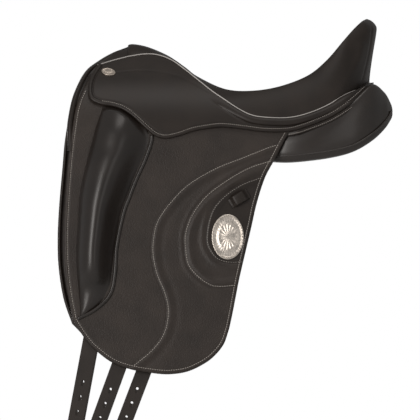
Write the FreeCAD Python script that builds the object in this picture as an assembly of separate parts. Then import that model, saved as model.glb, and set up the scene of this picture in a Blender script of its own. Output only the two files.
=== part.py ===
import FreeCAD, Part
import math
import os

# English dressage saddle, millimetres. +X runs from the pommel to the cantle, +Z is up, and the
# near side of the horse is -Y. The origin is on the horse's back, under the lowest point of the seat.
# Every layer of the sides follows one arch, and a depth is the distance inside its outer surface.
# Outlines are patterns in side view, drawn for the pattern sizes and graded to the sizes below.

os.makedirs("parts", exist_ok=True)
V = FreeCAD.Vector

# Overall sizes
seat_size = 444.5
flap_length = 354.6
pattern_seat_size = 444.5
pattern_flap_length = 354.6

# Arch of the saddle in cross section
pommel_height = 198.0
crown_radius = 62.0
shoulder_slope = 45.0
shoulder_length = 55.0
side_radius = 170.0
side_lean = 6.0
side_drop = 620.0

# Thicknesses of the layers, from the outside in
skirt_leather = 3.0
skirt_gap = 1.5
flap_leather = 4.0
layer_gap = 0.5
rail_thickness = 12.0
head_step = 2.0
head_thickness = 12.0
plate_steel = 2.5
seat_gap = 0.3
sweat_leather = 3.0
panel_thickness = 22.0
panel_side_bulge = 7.0
panel_face_bulge = 2.5
web_thickness = 2.0
long_web_width = 26.0

# Seat
cover_leather = 2.0
foam_gap = 1.2
foam_rear = 204.0
# How the edge of an inset section moves for each millimetre of inset: up where the seat's wall is
# steep, and down and inwards where it is flat
edge_lift = 0.4
edge_drop = 0.5
edge_draw = 0.6
seat_side_bulge = 6.0
cantle_board = 8.0
board_front = 152.0
board_rear = 188.0
board_low = 99.0
board_high = 156.0
cantle_facing_leather = 3.0
facing_front = 182.0
facing_rear = 203.0
facing_half_width = 82.0
facing_low = 121.0
facing_high = 156.0

# Trim
welt_width = 3.5
welt_height = 2.2
roll_width = 6.0
roll_height = 2.5
band_width = 9.0
nail_x = -238.0
nail_z = 150.0
nail_length = 24.0
nail_width = 17.0
nail_height = 3.0
ornament_x = -37.5
ornament_z = -126.0
ornament_length = 76.0
ornament_width = 54.0
ornament_height = 2.0
ornament_rim = 4.0
ornament_rim_height = 1.2
boss_length = 34.0
boss_width = 22.0
boss_height = 2.0
keeper_x = -18.0
keeper_z = -62.0
keeper_turn = 31.0
keeper_length = 36.0
keeper_width = 17.0
keeper_leather = 2.8
keeper_gap = 5.8
keeper_foot = 7.0

# Tree
head_front = 8.0
head_depth = 32.0
point_height = 15.0
rivet_radius = 2.5
rail_top_limit = 150.0
rail_below_welt = 5.0
gullet_half_width = 36.0
spring_steel = 1.5

# Stirrup bar and its catch
bar_front = -192.0
bar_rear = -80.0
finger_rear = -97.2
bar_low = 90.0
bar_high = 102.0
bar_plate_margin = 4.0
bar_cover_gap = 1.0
finger_steel = 4.8
bar_slot = 7.2
bar_plate_steel = 2.8
bar_block = 10.0
recess_margin = 6.0
catch_axis_x = -93.0
catch_tail = 7.6
catch_nose = 1.6
catch_ear = 2.5
pin_radius = 1.2
pin_clearance = 0.2

# Flap hinge line and billets
flap_below_skirt = 6.0
fold_gap = 3.2
billet_leather = 3.5
billet_gap = 0.5
billet_width = 25.4
billet_pivot_height = 30.0
billet_tip = 14.0
hole_pitch = 25.4
hole_length = 10.0
hole_width = 4.5
hole_count = 5
pivot_clearance = 0.4
# name, x of the pivot, slant in degrees, length below the pivot, first hole below the pivot
billets = (
    ("front", -206.0, 10.5, 540.0, 409.0),
    ("middle", -84.0, 20.0, 570.0, 441.0),
    ("rear", -33.0, 20.8, 570.0, 442.0),
)

# Depths that follow from the layers
flap_out = skirt_leather + skirt_gap
flap_in = flap_out + flap_leather
rail_out = flap_in + layer_gap
rail_in = rail_out + rail_thickness
head_out = rail_out + head_step
head_in = head_out + head_thickness
plate_out = head_in + seat_gap
plate_in = plate_out + plate_steel
sweat_out = plate_in + layer_gap
sweat_in = sweat_out + sweat_leather
panel_out = sweat_in + layer_gap
panel_in = panel_out + panel_thickness
finger_out = skirt_leather + bar_cover_gap
finger_in = finger_out + finger_steel
bar_plate_out = finger_in + bar_slot
bar_plate_in = bar_plate_out + bar_plate_steel

# Patterns in side view, as (x, z)
welt_line = ((-256, 162), (-231, 170), (-204, 177), (-177, 181), (-154.5, 179.5), (-132, 171),
             (-109.5, 155), (-87, 137), (-64.5, 119), (-42, 103.5), (-19.5, 88.6), (3, 77.8),
             (30, 73.8), (66, 73.8), (97.5, 81), (129, 94), (156, 110), (172, 118.5), (188, 124))
skirt_edge = ((-256, 162), (-267, 144), (-271.5, 124), (-268, 106), (-252, 97), (-231, 93),
              (-213, 87), (-195, 74), (-168, 49.5), (-139, 39), (-110, 46), (-69, 56),
              (-46.5, 58), (-15, 55), (21, 50.4), (52.5, 50), (75, 52.6), (106.5, 63),
              (138, 76.5), (169.5, 97), (190, 115))
front_upper = ((-197, 200), (-209, 193), (-231, 184), (-253.5, 171), (-276, 153), (-292, 124),
               (-302, 92), (-310, 38), (-312, point_height))
front_lower = ((-314, -7), (-320, -79), (-322, -133), (-320, -178), (-312, -227), (-298, -268))
rail_edge = ((165, 92), (120, 72), (75, 58), (20, 55), (-40, 60), (-110, 74), (-200, 78),
             (-256, 80))
flap_front = ((-265, 151), (-280.5, 124), (-292, 92), (-299, 47), (-304, 2), (-307.5, -43),
              (-311, -110), (-311, -155), (-307.5, -200), (-302, -236), (-296, -266))
flap_bottom = ((-296, -266), (-276, -296), (-258, -315), (-231, -335), (-199.5, -346.5),
               (-168, -352), (-136.5, -354.6), (-105, -350), (-78, -337.5), (-60, -324),
               (-44, -304), (-35, -279), (-29, -250), (-19.5, -200), (-10.5, -160), (1, -110),
               (10, -70), (23, -29), (39, 2), (57, 36))

# Seat stations: x, welt height, rim half width, rim height, centre height, underside height
seat_stations = (
    (-204, 177.0, 24, 192.5, 195.5, 188.5),
    (-190, 179.8, 26, 194.0, 197.0, 189.5),
    (-177, 181.0, 28, 191.5, 194.0, 187.5),
    (-154.5, 179.5, 30, 183.0, 185.0, 179.0),
    (-132, 171.0, 34, 170.8, 169.5, 163.0),
    (-109.5, 155.0, 46, 154.6, 152.6, 147.0),
    (-87, 137.0, 62, 139.0, 136.6, 129.0),
    (-42, 103.5, 88, 121.5, 119.0, 106.0),
    (3, 77.8, 98, 118.5, 115.0, 92.0),
    (50, 73.5, 98, 125.5, 116.0, 90.0),
    (97, 81.0, 92, 144.5, 128.0, 100.0),
    (129, 94.0, 85, 170.5, 143.0, 113.0),
    (156, 110.0, 72, 201.0, 166.0, 128.0),
    (174, 119.5, 56, 222.0, 194.0, 140.0),
    (190, 127.0, 37, 235.5, 224.0, 146.0),
    (202, 140.0, 22, 234.5, 236.0, 160.0),
    (211, 190.0, 12, 221.0, 224.0, 198.0),
)
# Half widths of the seat behind the straight part of its welt, as (x, half width)
seat_tail = {190: 86.0, 202: 62.0, 211: 24.0}

# Webs from rail to rail: x, width, height at the rails, height in the middle
cross_web_places = ((-8, 38, 62, 80), (40, 50, 60, 78), (108, 24, 75.8, 92))

# Rear of a panel: x, then outer top, outer bottom, inner bottom and inner top as (y, z)
panel_stations = (
    (-40, (90, 54), (95, 2), (46, 34), (44, 58)),
    (20, (92, 50), (99, 0), (44, 34), (42, 56)),
    (62, (102, 44), (112, -1), (43, 34), (42, 54)),
    (100, (110, 50), (116, 2), (43, 36), (42, 56)),
    (140, (112, 66), (113, 7), (43, 40), (42, 70)),
    (175, (102, 86), (105, 17), (44, 46), (43, 88)),
    (205, (84, 112), (92, 34), (46, 58), (45, 112)),
    (228, (63, 108), (70, 58), (48, 72), (47, 104)),
    (236, (57, 98), (61, 74), (50, 80), (49, 96)),
)

# Knee block: height, front x, ridge x, rear x, ridge height above the flap
block_stations = (
    (76, -252, -235, -214, 9),
    (58, -261, -236, -198, 22),
    (27, -267, -237, -175, 34),
    (-29, -280, -244, -193, 44),
    (-88, -286, -259, -215, 46),
    (-142, -291, -270, -226, 43),
    (-187, -286, -268, -229, 33),
    (-223, -279, -262, -238, 18),
    (-250, -274, -270, -264, 5),
)

half_room = 300.0


def graded(points):
    """Pattern points at the saddle's own size."""
    along = seat_size / pattern_seat_size
    down = flap_length / pattern_flap_length
    return [(x * along, z * down if z < 0 else z) for x, z in points]


# The arch: crown arc, straight shoulder, side arc and straight leaning side, on each side
slope = math.radians(shoulder_slope)
steep = math.radians(90 - side_lean)
crown_z = pommel_height - crown_radius
shoulder_end = (crown_radius * math.sin(slope) + shoulder_length * math.cos(slope),
                crown_z + crown_radius * math.cos(slope) - shoulder_length * math.sin(slope))
side_centre = (shoulder_end[0] - side_radius * math.sin(slope),
               shoulder_end[1] - side_radius * math.cos(slope))


def on_side_arc(depth, angle):
    radius = side_radius - depth
    return side_centre[0] + radius * math.sin(angle), side_centre[1] + radius * math.cos(angle)


def arch_width(z, depth):
    """Half width of the arch at height z, at a depth."""
    knee = on_side_arc(depth, steep)
    shoulder = on_side_arc(depth, slope)
    crown = crown_radius - depth
    if z < knee[1]:
        return knee[0] + (knee[1] - z) * math.tan(math.radians(side_lean))
    if z < shoulder[1]:
        return side_centre[0] + math.sqrt((side_radius - depth) ** 2 - (z - side_centre[1]) ** 2)
    if z < crown_z + crown * math.cos(slope):
        return shoulder[0] - (z - shoulder[1]) / math.tan(slope)
    return math.sqrt(max(crown ** 2 - (z - crown_z) ** 2, 0.0))


def profile(depth):
    """Edges of the whole arch at a depth, from the -Y hem over the crown to the +Y hem."""
    crown = crown_radius - depth
    x = -half_room * 1.5
    a = (crown * math.sin(slope), crown_z + crown * math.cos(slope))
    b = on_side_arc(depth, slope)
    m = on_side_arc(depth, (slope + steep) / 2)
    c = on_side_arc(depth, steep)
    d = (c[0] + side_drop * math.cos(steep), c[1] - side_drop * math.sin(steep))
    left = [V(x, -p[0], p[1]) for p in (a, b, m, c, d)]
    right = [V(x, p[0], p[1]) for p in (a, b, m, c, d)]
    top = V(x, 0, crown_z + crown)
    return [
        Part.makeLine(left[4], left[3]),
        Part.Arc(left[3], left[2], left[1]).toShape(),
        Part.makeLine(left[1], left[0]),
        Part.Arc(left[0], top, right[0]).toShape(),
        Part.makeLine(right[0], right[1]),
        Part.Arc(right[1], right[2], right[3]).toShape(),
        Part.makeLine(right[3], right[4]),
    ]


def layer(depth_out, depth_in):
    """Everything between two depths, over the whole length of the saddle."""
    outer = profile(depth_out)
    inner = profile(depth_in)
    hems = [Part.makeLine(outer[0].Vertexes[0].Point, inner[0].Vertexes[0].Point),
            Part.makeLine(outer[-1].Vertexes[-1].Point, inner[-1].Vertexes[-1].Point)]
    wire = Part.Wire(Part.__sortEdges__(outer + inner + hems))
    return Part.Face(wire).extrude(V(half_room * 3, 0, 0))


def curve(points):
    spline = Part.BSplineCurve()
    spline.interpolate([V(x, 0, z) for x, z in points])
    return spline


def beside(points, distance):
    """The same run of points moved sideways, to the left of its direction in side view."""
    spline = curve(points)
    moved = []
    for x, z in points:
        tangent = spline.tangent(spline.parameter(V(x, 0, z)))[0]
        moved.append((x - tangent.z * distance, z + tangent.x * distance))
    return moved


def outline(*runs):
    """Face in side view. A run of three or more points is a smooth curve, and lines join the runs."""
    edges = []
    first = None
    last = None
    for run in runs:
        points = [V(x, 0, z) for x, z in run]
        if first is None:
            first = points[0]
        elif (points[0] - last).Length > 0.01:
            edges.append(Part.makeLine(last, points[0]))
        if len(points) == 2:
            edges.append(Part.makeLine(points[0], points[1]))
        elif len(points) > 2:
            edges.append(curve(run).toShape())
        last = points[-1]
    if (last - first).Length > 0.01:
        edges.append(Part.makeLine(last, first))
    return Part.Face(Part.Wire(edges))


def rectangle(x0, x1, z0, z1):
    return outline([(x0, z0), (x1, z0)], [(x1, z1), (x0, z1)])


def sheet(face, depth_out, depth_in, both=False):
    """A pattern cut from a layer, on the near side or over both sides."""
    blank = face.copy()
    if both:
        blank.translate(V(0, half_room, 0))
    prism = blank.extrude(V(0, -half_room * (2 if both else 1), 0))
    return layer(depth_out, depth_in).common(prism)


def down_the_side(z):
    """Height measured along the leaning side instead of straight down."""
    knee_z = on_side_arc(0, steep)[1]
    return knee_z + (z - knee_z) / math.cos(math.radians(side_lean))


def lean(shape, depth):
    """Stand a flat piece, whose back is at y = 0 and whose front faces -Y, on the leaning side."""
    knee = on_side_arc(depth, steep)
    placed = shape.copy()
    placed.translate(V(0, 0, -on_side_arc(0, steep)[1]))
    placed.rotate(V(0, 0, 0), V(1, 0, 0), -side_lean)
    placed.translate(V(0, -knee[0], knee[1]))
    return placed


def on_side(shape, z, depth):
    """Stand a flat piece on the side arc, square to it where it is at height z at a depth."""
    angle = math.acos((z - side_centre[1]) / (side_radius - depth))
    y, level = on_side_arc(0, angle)
    placed = shape.copy()
    placed.rotate(V(0, 0, 0), V(1, 0, 0), math.degrees(angle) - 90)
    placed.translate(V(0, -y, level))
    return placed


def leaning_point(x, level, depth):
    """The point of the leaning side at a height measured along it."""
    knee = on_side_arc(depth, steep)
    along = level - on_side_arc(0, steep)[1]
    angle = math.radians(side_lean)
    return V(x, along * math.sin(angle) - knee[0], knee[1] + along * math.cos(angle))


def far_side(shape):
    return shape.mirror(V(0, 0, 0), V(0, 1, 0))


def save(name, shape):
    solids = shape.Solids
    whole = solids[0] if len(solids) == 1 else Part.makeCompound(solids)
    whole.exportStep("parts/" + name + ".step")
    box = whole.BoundBox
    print(name, len(solids), whole.isValid(), "%.0f" % (whole.Volume / 1000),
          "x %.0f %.0f y %.0f %.0f z %.0f %.0f" % (box.XMin, box.XMax, box.YMin, box.YMax,
                                                   box.ZMin, box.ZMax))


def save_pair(name, shape):
    save(name + "_left", shape)
    save(name + "_right", far_side(shape))


def bulged(a, b, bulge):
    """Arc from a to b in the plane x = constant, standing out by bulge to the right of a to b."""
    along = b - a
    side = V(0, along.z, -along.y)
    side.normalize()
    return Part.Arc(a, (a + b) * 0.5 + side * bulge, b).toShape()


# Seat
def seat_half_width(x, welt_z):
    return seat_tail.get(x, arch_width(welt_z, 0))


def seat_section(station, inset, underside):
    """One section of the seat, inset from the cover's outside. The underside is an arc, too."""
    x, welt_z, rim_y, rim_z, centre_z, under_z = station
    along = x * seat_size / pattern_seat_size
    half = seat_half_width(x, welt_z)
    lift = edge_lift
    draw = 1.0
    if underside:
        steep = max((rim_z - welt_z) / math.hypot(half - rim_y, rim_z - welt_z), 0.0)
        lift = edge_lift * steep - edge_drop * (1 - steep)
        draw = 1.0 + edge_draw * (1 - steep)
    half -= inset * draw
    edge_z = welt_z + seat_gap + inset * lift
    rim = (rim_y - inset * 0.5, rim_z - inset)
    left_welt = V(along, -half, edge_z)
    right_welt = V(along, half, edge_z)
    left_rim = V(along, -rim[0], rim[1])
    right_rim = V(along, rim[0], rim[1])
    reach = min(seat_side_bulge, (left_rim - left_welt).Length * 0.12)
    top = [
        bulged(left_welt, left_rim, -reach),
        Part.Arc(left_rim, V(along, 0, centre_z - inset), right_rim).toShape(),
        bulged(right_rim, right_welt, -reach),
    ]
    if underside:
        floor_z = under_z + min(inset, foam_gap)
        base = Part.Arc(right_welt, V(along, 0, floor_z), left_welt).toShape()
        return Part.Wire(top + [base])
    return top


def seat_loft(inset):
    sections = [seat_section(s, inset, True) for s in seat_stations]
    return Part.makeLoft(sections, True, False)


def seat_cover():
    """The seat leather: a thin crescent in every section."""
    wires = []
    for station in seat_stations:
        outer = seat_section(station, 0, False)
        inner = seat_section(station, cover_leather, False)
        ends = [Part.makeLine(outer[0].Vertexes[0].Point, inner[0].Vertexes[0].Point),
                Part.makeLine(outer[-1].Vertexes[-1].Point, inner[-1].Vertexes[-1].Point)]
        wires.append(Part.Wire(Part.__sortEdges__(outer + inner + ends)))
    return Part.makeLoft(wires, True, False)


def cantle_arc(front_x, rear_x, half, thickness, low, high):
    """Upright curved board or strip across the cantle, given by its outer face in plan."""
    k = seat_size / pattern_seat_size
    a = V(front_x * k, -half, low)
    m = V(rear_x * k, 0, low)
    b = V(front_x * k, half, low)
    inward = V(-thickness, 0, 0)
    edges = [Part.Arc(a, m, b).toShape(), Part.makeLine(b, b + inward),
             Part.Arc(b + inward, m + inward, a + inward).toShape(), Part.makeLine(a + inward, a)]
    return Part.Face(Part.Wire(edges)).extrude(V(0, 0, high - low))


board_half = arch_width(welt_line[16][1] - rail_below_welt, rail_in) - 2 * seat_gap


def make_seat():
    board = cantle_arc(board_front, board_rear, board_half, cantle_board, board_low, board_high)
    room = cantle_arc(board_front + seat_gap, board_rear + seat_gap, board_half + seat_gap,
                      cantle_board + 4 * seat_gap, board_low, board_high + seat_gap)
    end = Part.makeBox(half_room, 2 * half_room, 2 * half_room,
                       V(foam_rear * seat_size / pattern_seat_size, -half_room, -half_room))
    foam = seat_loft(cover_leather + foam_gap).cut(room).cut(end)
    save("tree_cantle", board)
    save("seat_foam", foam)
    save("seat_cover", seat_cover())
    facing = cantle_arc(facing_front, facing_rear, facing_half_width, cantle_facing_leather,
                        facing_low, facing_high)
    outside = seat_loft(-foam_gap)
    save("cantle_facing", facing.cut(outside))


# Covers of the front arch and the sides
def make_skirts():
    welt = graded(welt_line)
    edge = graded(skirt_edge)
    save_pair("skirt", sheet(outline(welt, edge[::-1]), 0, skirt_leather))
    roll = outline(edge[5:], beside(edge[5:], roll_width)[::-1])
    save_pair("skirt_edge_roll", sheet(roll, -roll_height, 0))
    trim = outline(welt[1:], beside(welt[1:], -welt_width)[::-1])
    save_pair("seat_welt", sheet(trim, -welt_height, 0))
    lower = beside(edge[16:], 2.0)
    facing = outline(lower, beside(lower, -band_width - 2.0)[::-1])
    save_pair("panel_facing", sheet(facing, skirt_leather + layer_gap, 2 * skirt_leather))


def make_pommel_cap():
    front = graded(((-204.6, 195.4), (-209, 193.4), (-231, 184), (-253.5, 171), (-266, 162)))
    lower = graded(((-258, 153), (-231, 162), (-204.6, 169)))
    cap_out = skirt_leather + seat_gap
    save("pommel_cap", sheet(outline(front, lower), cap_out, cap_out + skirt_leather, True))


def make_nails():
    x = nail_x * seat_size / pattern_seat_size
    oval = Part.Ellipse(V(0, 0, 0), nail_length / 2, nail_width / 2).toShape()
    disc = Part.Face(Part.Wire([oval])).extrude(V(0, 0, nail_height))
    disc.rotate(V(0, 0, 0), V(1, 0, 0), shoulder_slope)
    disc.translate(V(x, -arch_width(nail_z, 0), nail_z))
    save_pair("saddle_nail", disc)


# Tree
def make_tree():
    front = graded(front_upper)
    head_face = outline(beside(front, head_front), beside(front, head_front + head_depth)[::-1])
    head = sheet(head_face, head_out, head_in, True)
    plate_run = front[:7]
    plate_face = outline(beside(plate_run, head_front + 4),
                         beside(plate_run, head_front + head_depth - 4)[::-1])
    plate = sheet(plate_face, plate_out, plate_in, True)
    rivets = []
    for row in (front[4], front[5]):
        x = row[0] + head_front + head_depth / 2
        z = row[1] - 12
        y = arch_width(z, head_out)
        angle = slope
        if z < shoulder_end[1]:
            angle = math.acos((z - side_centre[1]) / (side_radius - head_out))
        outward = V(0, -math.sin(angle), math.cos(angle))
        start = V(x, -y, z) + outward * 1.0
        shank = head_thickness + seat_gap + plate_steel + 1.0 + seat_gap
        rivet = Part.makeCylinder(rivet_radius, shank, start, outward * -1)
        rivets += [rivet, far_side(rivet)]
    group = Part.makeCompound(rivets)
    save("tree_head", head.cut(group))
    save("gullet_plate", plate.cut(group))
    save("tree_rivets", group)
    rail, spring = rails()
    save_pair("tree_rail", rail)
    save_pair("spring_steel", spring)


def rails():
    welt = graded(welt_line)
    top = beside(welt[6:17], -rail_below_welt)
    bottom = graded(rail_edge)
    behind_head = beside(graded(front_upper), head_front + head_depth + 3 * seat_gap)
    front = [p for p in behind_head if 84 < p[1] < rail_top_limit - 2][::-1]
    face = outline([(top[0][0] - 12, rail_top_limit)], top, [(top[-1][0] + 8, top[-1][1] + 2)],
                   bottom, front, [(front[-1][0] + 9, rail_top_limit)])
    rail = sheet(face, rail_out, rail_in)
    room = rectangle(bar_front - recess_margin, bar_rear + recess_margin,
                     bar_low - recess_margin - 2, bar_high + recess_margin + 2)
    rail = rail.cut(sheet(room, rail_out - 1, bar_plate_in + seat_gap))
    strip = beside(welt[7:16], -rail_below_welt - 4)
    spring = sheet(outline(strip, beside(strip, -12)[::-1]), rail_in + 0.2,
                   rail_in + 0.2 + spring_steel)
    return rail, spring


# Stirrup bars: a plate let into the rail, a finger over it, and a hinged catch at the open end
def make_bars():
    plate = sheet(rectangle(bar_front, bar_rear, bar_low - bar_plate_margin,
                            bar_high + bar_plate_margin), bar_plate_out, bar_plate_in)
    finger = sheet(rectangle(bar_front, finger_rear, bar_low, bar_high), finger_out, finger_in)
    block = sheet(rectangle(bar_front, bar_front + bar_block, bar_low, bar_high), finger_out,
                  bar_plate_out + 1)
    mid_z = (bar_low + bar_high) / 2
    mid_depth = (finger_out + finger_in) / 2
    angle = math.acos((mid_z - side_centre[1]) / (side_radius - mid_depth))
    half = (bar_high - bar_low) / 2 / math.sin(angle)
    ears = []
    for low in (-half, half - catch_ear):
        ear = Part.makeBox(catch_axis_x + catch_ear - finger_rear + catch_ear, finger_steel, catch_ear)
        ear.translate(V(finger_rear - catch_ear, finger_out, low))
        ears.append(on_side(ear, mid_z, mid_depth))
    inner_half = half - catch_ear - seat_gap
    tongue = Part.makeBox(catch_nose + catch_tail, finger_steel, 2 * inner_half)
    tongue.translate(V(catch_axis_x - catch_nose, finger_out, -inner_half))
    foot = V(catch_axis_x, mid_depth, -half)
    pin = Part.makeCylinder(pin_radius, 2 * half, foot, V(0, 0, 1))
    bore = Part.makeCylinder(pin_radius + pin_clearance, 2 * half, foot, V(0, 0, 1))
    tongue = tongue.cut(bore)
    pin = on_side(pin, mid_z, mid_depth)
    bar = plate.fuse(block).fuse(finger).fuse(ears[0]).fuse(ears[1]).cut(pin)
    save_pair("stirrup_bar", bar)
    save_pair("bar_catch", on_side(tongue, mid_z, mid_depth))
    save_pair("catch_pin", pin)
    print("catch axis", pin.CenterOfMass, math.cos(angle), math.sin(angle))


# Webbing across the tree, and the strip that lines the gullet
def make_webs():
    k = seat_size / pattern_seat_size
    stations = [s for s in seat_stations if -200 < s[0] < 180]
    run = [(s[0] * k, s[5]) for s in stations]
    strip = outline(run, [(x, z - web_thickness) for x, z in run][::-1])
    long_web = strip.extrude(V(0, long_web_width, 0))
    long_web.translate(V(0, -long_web_width / 2, 0))
    save("long_web", long_web)
    webs = []
    for x, width, end_z, centre_z in cross_web_places:
        half = arch_width(end_z, rail_in + spring_steel) - 2 * seat_gap
        a, m, b = V(x * k, -half, end_z), V(x * k, 0, centre_z), V(x * k, half, end_z)
        down = V(0, 0, -web_thickness)
        wire = Part.Wire([Part.Arc(a, m, b).toShape(), Part.makeLine(b, b + down),
                          Part.Arc(b + down, m + down, a + down).toShape(),
                          Part.makeLine(a + down, a)])
        webs.append(Part.Face(wire).extrude(V(width * k, 0, 0)))
    save("cross_webs", Part.makeCompound(webs))
    path = graded(((-150, 118), (-110, 92), (-60, 66), (0, 57), (60, 55), (110, 60), (150, 78),
                   (190, 98)))
    lining = outline(path, [(x, z - web_thickness) for x, z in path][::-1])
    lining = lining.extrude(V(0, 2 * gullet_half_width - 1, 0))
    lining.translate(V(0, 0.5 - gullet_half_width, 0))
    save("gullet_lining", lining)


def height_at(points, x):
    """Height of a run of points, taken as a smooth curve, at x."""
    spline = curve(points)
    upright = Part.makeLine(V(x, 0, -half_room * 2), V(x, 0, half_room * 2))
    return spline.toShape().distToShape(upright)[1][0][0].z


# Flap: a fixed tab under the skirt, and the moving flap with what is sewn to it
def make_flaps():
    k = seat_size / pattern_seat_size
    edge = graded(skirt_edge)[4:16]
    front = graded(flap_front)
    tab_bottom = beside(edge, -(flap_below_skirt - fold_gap))
    flap_top = beside(edge, -flap_below_skirt)
    tab_front = front[:3]
    tab_top = beside(graded(welt_line)[0:14], -12)
    tab = sheet(outline(tab_front[::-1], tab_top, [(70 * k, 60)], tab_bottom[::-1]), flap_out,
                flap_in)
    window = rectangle(bar_front - recess_margin, bar_rear + recess_margin + 1,
                       bar_low - recess_margin, bar_high + recess_margin)
    save_pair("flap_tab", tab.cut(sheet(window, flap_out - 1, flap_in + 1)))
    low_front = [p for p in front if p[1] < 90]
    corner = [(front[2][0] - 0.5, front[2][1] - fold_gap)]
    bottom = graded(flap_bottom)
    flap = outline(flap_top[::-1], corner + low_front, bottom[1:])
    save_pair("flap", sheet(flap, flap_out, flap_in))
    make_knee_block(k)
    make_keeper(k)
    make_ornament(k)


def make_knee_block(k):
    wires = []
    down = flap_length / pattern_flap_length
    sunk = 14.0
    for z, front, ridge, rear, height in block_stations:
        level = down_the_side(z * down if z < 0 else z)
        base_front = V(front * k, sunk, level)
        base_rear = V(rear * k, sunk, level)
        a = V(front * k, 0, level)
        b = V(ridge * k, -height, level)
        c = V(rear * k, 0, level)
        lead = (a + b) * 0.5 + V(-height * 0.16, -height * 0.12, 0)
        trail = (b + c) * 0.5 + V(height * 0.10, -height * 0.10, 0)
        wires.append(Part.Wire([Part.makeLine(base_front, a), Part.Arc(a, lead, b).toShape(),
                                Part.Arc(b, trail, c).toShape(), Part.makeLine(c, base_rear),
                                Part.makeLine(base_rear, base_front)]))
    loft = lean(Part.makeLoft(wires, True, False), flap_out)
    save_pair("knee_block", loft.common(layer(-60, flap_out)))


def make_keeper(k):
    half = keeper_length / 2
    inner = half - keeper_foot
    top = keeper_gap + keeper_leather
    points = [(-half, 0), (-half, keeper_leather), (-inner - 1, top), (inner + 1, top),
              (half, keeper_leather), (half, 0), (inner, 0), (inner, keeper_gap),
              (-inner, keeper_gap), (-inner, 0)]
    wire = Part.makePolygon([V(u, -h, 0) for u, h in points + points[:1]])
    loop = Part.Face(wire).extrude(V(0, 0, keeper_width))
    loop.translate(V(0, 0, -keeper_width / 2))
    loop.rotate(V(0, 0, 0), V(0, 1, 0), -keeper_turn)
    loop.translate(V(keeper_x * k, 0, down_the_side(keeper_z)))
    save_pair("leather_keeper", lean(loop, flap_out))


def oval(length, width, height):
    edge = Part.Ellipse(V(0, 0, 0), length / 2, width / 2).toShape()
    disc = Part.Face(Part.Wire([edge])).extrude(V(0, 0, height))
    disc.rotate(V(0, 0, 0), V(0, 0, 1), 90)
    disc.rotate(V(0, 0, 0), V(1, 0, 0), 90)
    return disc


def make_ornament(k):
    plate = oval(ornament_length, ornament_width, ornament_height + ornament_rim_height)
    dish = oval(ornament_length - 2 * ornament_rim, ornament_width - 2 * ornament_rim,
                ornament_rim_height)
    dish.translate(V(0, -ornament_height, 0))
    boss = oval(boss_length, boss_width, ornament_height + boss_height)
    badge = plate.cut(dish).fuse(boss)
    badge.translate(V(ornament_x * k, 0, down_the_side(ornament_z)))
    save_pair("flap_ornament", lean(badge, flap_out))


# Billets, their webs, the sweat flap and its point pocket
def billet_depth(index):
    return flap_in + billet_gap + seat_gap + index * (billet_leather + billet_gap)


def make_billets():
    k = seat_size / pattern_seat_size
    half = billet_width / 2
    webs = []
    for index, (name, x, slant, length, first) in enumerate(billets):
        depth = billet_depth(index)
        arc = Part.Arc(V(-half, 0, 0), V(0, 0, half), V(half, 0, 0)).toShape()
        lines = [V(half, 0, 0), V(half, 0, billet_tip - length), V(half * 0.4, 0, -length),
                 V(-half * 0.4, 0, -length), V(-half, 0, billet_tip - length), V(-half, 0, 0)]
        edges = [arc] + [Part.makeLine(a, b) for a, b in zip(lines, lines[1:])]
        strap = Part.Face(Part.Wire(edges)).extrude(V(0, billet_leather, 0))
        for number in range(hole_count):
            z = -first - number * hole_pitch
            slot = slotted_hole(z)
            strap = strap.cut(slot)
        strap.rotate(V(0, 0, 0), V(0, 1, 0), slant)
        level = down_the_side(billet_pivot_height)
        strap.translate(V(x * k, 0, level))
        save_pair("billet_" + name, lean(strap, depth))
        apex = leaning_point(x * k, level + half, depth).z + pivot_clearance
        tops = [(end, height_at(graded(rail_edge), end) - seat_gap)
                for end in (x * k - half, x * k + half)]
        web = outline([(x * k - half, apex), (x * k + half, apex)], tops[::-1])
        webs.append(sheet(web, depth + 0.5, depth + 0.5 + web_thickness))
        print("pivot", name, leaning_point(x * k, level, depth + billet_leather / 2))
    save_pair("billet_webs", Part.makeCompound(webs))


def slotted_hole(z):
    """Oval hole along the strap."""
    radius = hole_width / 2
    run = hole_length - hole_width
    low = V(0, -1, z - run / 2)
    ends = [Part.makeCylinder(radius, billet_leather + 2, p, V(0, 1, 0))
            for p in (low, low + V(0, 0, run))]
    middle = Part.makeBox(hole_width, billet_leather + 2, run, low - V(radius, 0, 0))
    return ends[0].fuse(ends[1]).fuse(middle)


def make_sweat_flaps():
    front = graded(front_upper)[5:] + graded(front_lower)
    rest = graded(((-298, -268), (-270, -292), (-220, -303), (-165, -290), (-120, -245),
                   (-85, -180), (-45, -105), (-10, -40), (15, 8)))
    face = outline(front, rest, [graded(((15, 40),))[0]], [graded(((-262, 56),))[0]],
                   [graded(((-262, 118),))[0]])
    save_pair("sweat_flap", sheet(face, sweat_out, sweat_in))
    pocket = graded(((-303, 44), (-306, 4), (-262, 4), (-256, 44)))
    face = outline(pocket[:2], pocket[2:])
    save_pair("point_pocket", sheet(face, plate_out, plate_in + 0.2))


# Panels: a front that follows the arch, and a deep rear, on each side of the gullet
def panel_rear():
    wires = []
    for x, outer_top, outer_bottom, inner_bottom, inner_top in panel_stations:
        a, b, c, d = [V(x * seat_size / pattern_seat_size, -y, z) for y, z in
                      (outer_top, outer_bottom, inner_bottom, inner_top)]
        outer_bulge = min(panel_side_bulge, (b - a).Length * 0.16)
        inner_bulge = min(panel_side_bulge / 2, (d - c).Length * 0.12)
        wires.append(Part.Wire([bulged(a, b, outer_bulge), bulged(b, c, panel_face_bulge),
                                bulged(c, d, inner_bulge), bulged(d, a, panel_face_bulge)]))
    return Part.makeLoft(wires, True, False)


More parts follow.
